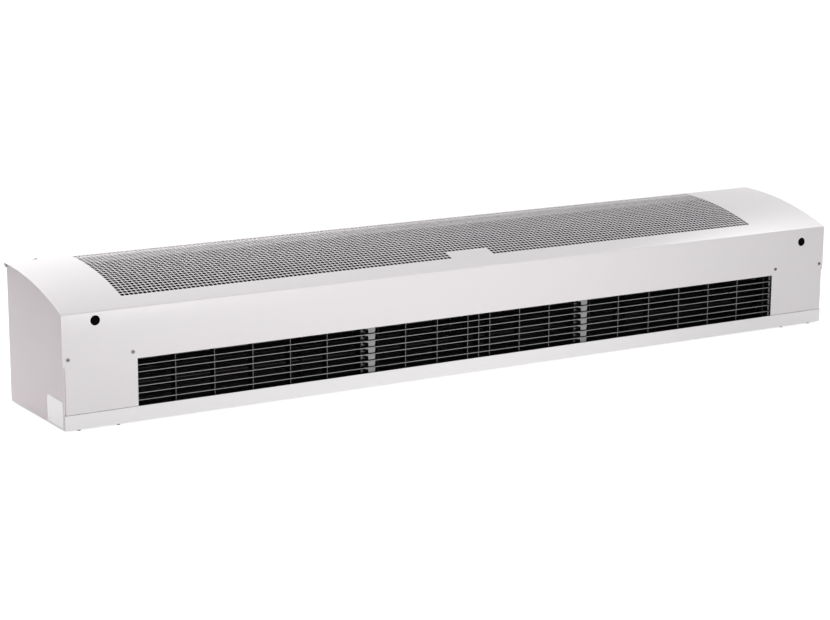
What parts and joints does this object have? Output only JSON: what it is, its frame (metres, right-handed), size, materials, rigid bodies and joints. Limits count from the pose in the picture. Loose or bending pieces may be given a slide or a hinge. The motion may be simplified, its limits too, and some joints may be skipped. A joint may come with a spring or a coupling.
{
  "type": "air curtain",
  "caption": "Long electric air curtain lying on its wall plate, with a curved punched intake cover, a slatted outlet and a tangential fan.",
  "frame": {"origin": "middle of the four wall holes, on the wall face of the tray", "axes": "+X along the casing towards the motor end, -Y out of the air outlet, +Z away from the wall face, out of the intake"},
  "size_m": [2.005, 0.3262, 0.2974],
  "materials": {
    "white_powder_coat": "satin white powder coating on folded sheet steel",
    "black_grille_plastic": "matt black moulded plastic",
    "grey_comb_plastic": "light grey moulded plastic",
    "galvanised_steel": "bright galvanised sheet steel",
    "black_coated_steel": "black powder coated sheet steel",
    "fan_aluminium": "pressed sheet aluminium",
    "bright_steel": "bright drawn steel",
    "motor_iron": "stacked electrical steel sheets",
    "black_rubber": "moulded black rubber",
    "sintered_bronze": "oil-filled sintered bronze",
    "motor_casing": "grey painted pressed steel",
    "winding_copper": "enamelled copper wire",
    "capacitor_plastic": "smooth off-white plastic can",
    "heater_steel": "stainless tube dulled by heat",
    "ceramic_white": "glazed ceramic",
    "terminal_plastic": "ivory moulded plastic",
    "contactor_plastic": "dark grey moulded plastic",
    "lead_sheath": "smooth dark flexible sheath",
    "black_plug_plastic": "black moulded plastic",
    "zinc_screw": "zinc plated steel",
    "gland_plastic": "grey moulded plastic",
    "label_film": "blank white adhesive film"
  },
  "bodies": {
    "casing": {"base_tray": "white_powder_coat", "end_panel_left": "white_powder_coat", "end_panel_right": "white_powder_coat", "top_cover": "white_powder_coat", "outlet_grille_left": "black_grille_plastic", "outlet_grille_centre": "black_grille_plastic", "outlet_grille_right": "black_grille_plastic", "grille_combs": "grey_comb_plastic", "fan_scroll": "black_coated_steel", "fan_tongue": "black_coated_steel", "side_plate_left": "galvanised_steel", "side_plate_right": "galvanised_steel", "left_bearing_housing": "galvanised_steel", "centre_bearing_plate": "galvanised_steel", "bearing_rubbers": "black_rubber", "bearing_bushes": "sintered_bronze", "motor_front_shell": "motor_casing", "motor_rear_shell": "motor_casing", "motor_stator": "motor_iron", "motor_windings": "winding_copper", "motor_posts": "bright_steel", "run_capacitor": "capacitor_plastic", "heater_hairpins": "heater_steel", "heater_hangers": "black_coated_steel", "heater_terminals": "ceramic_white", "overheat_cutout": "ceramic_white", "din_rail": "galvanised_steel", "terminal_block": "terminal_plastic", "contactors": "contactor_plastic", "motor_lead": "lead_sheath", "lead_grommets": "black_rubber", "wall_plates": "galvanised_steel", "plug_left": "black_plug_plastic", "plug_right": "black_plug_plastic", "cover_screws": "zinc_screw", "tray_screws": "zinc_screw", "cable_gland": "gland_plastic", "gland_nut": "gland_plastic", "rating_label": "label_film"},
    "fan": {"fan_wheel_left": "fan_aluminium", "fan_wheel_right": "fan_aluminium", "left_shaft": "bright_steel", "centre_shaft": "bright_steel", "motor_shaft": "bright_steel", "motor_rotor": "motor_iron"}
  },
  "joints": [
    {"name": "fan_spin", "type": "hinge", "parent": "casing", "child": "fan", "pos_m": [0, 0.006, 0.15], "axis": [1, 0, 0], "continuous": true}
  ]
}
